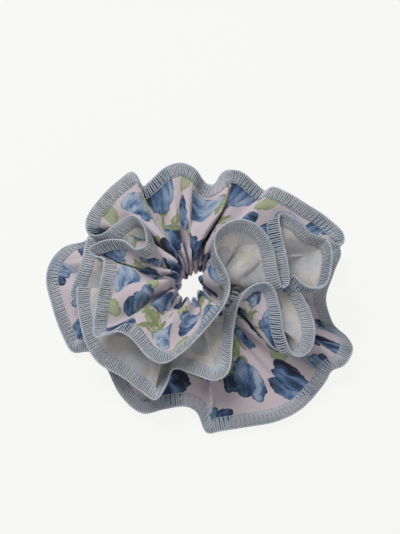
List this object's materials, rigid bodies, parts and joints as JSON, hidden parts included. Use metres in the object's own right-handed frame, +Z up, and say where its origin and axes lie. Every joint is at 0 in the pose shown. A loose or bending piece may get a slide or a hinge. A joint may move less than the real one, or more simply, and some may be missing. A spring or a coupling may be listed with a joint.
{
  "type": "ruffle scrunchie",
  "caption": "Large ruffle scrunchie: gathered layers of printed cloth with overlocked edges, sewn round a stretchy elastic.",
  "frame": {"origin": "on the table, under the middle of the hole", "axes": "+Z up along the hole's axis, +X along the longest width, +Y from the near half to the far half"},
  "size_m": [0.1608, 0.1544, 0.0567],
  "materials": {
    "printed_cotton": "soft matte woven cotton, pale pink-lilac with a blue floral print on its right side",
    "overlock_thread": "pale grey-blue overlocking thread, slightly glossy ribs",
    "sewing_thread": "pale polyester sewing thread",
    "elastic_web": "ribbed flat woven elastic"
  },
  "bodies": {
    "far_half": {"inner_strip_far": "printed_cotton", "outer_strip_far": "printed_cotton", "elastic_far": "elastic_web", "elastic_join_zigzag": "sewing_thread", "channel_stitch_upper_far": "sewing_thread", "channel_stitch_lower_far": "sewing_thread", "overlock_inner_top_far": "overlock_thread", "overlock_outer_top_far": "overlock_thread", "overlock_outer_bottom_far": "overlock_thread", "overlock_inner_bottom_far": "overlock_thread", "inner_strip_seam": "sewing_thread", "outer_strip_seam": "sewing_thread"},
    "near_half": {"inner_strip_near": "printed_cotton", "outer_strip_near": "printed_cotton", "elastic_near": "elastic_web", "channel_stitch_upper_near": "sewing_thread", "channel_stitch_lower_near": "sewing_thread", "overlock_inner_top_near": "overlock_thread", "overlock_outer_top_near": "overlock_thread", "overlock_outer_bottom_near": "overlock_thread", "overlock_inner_bottom_near": "overlock_thread"}
  },
  "joints": [
    {"name": "elastic_stretch", "type": "slide", "parent": "far_half", "child": "near_half", "axis": [0, -1, 0], "range_m": [0, 0.06], "stiffness_N_per_m": 60}
  ]
}
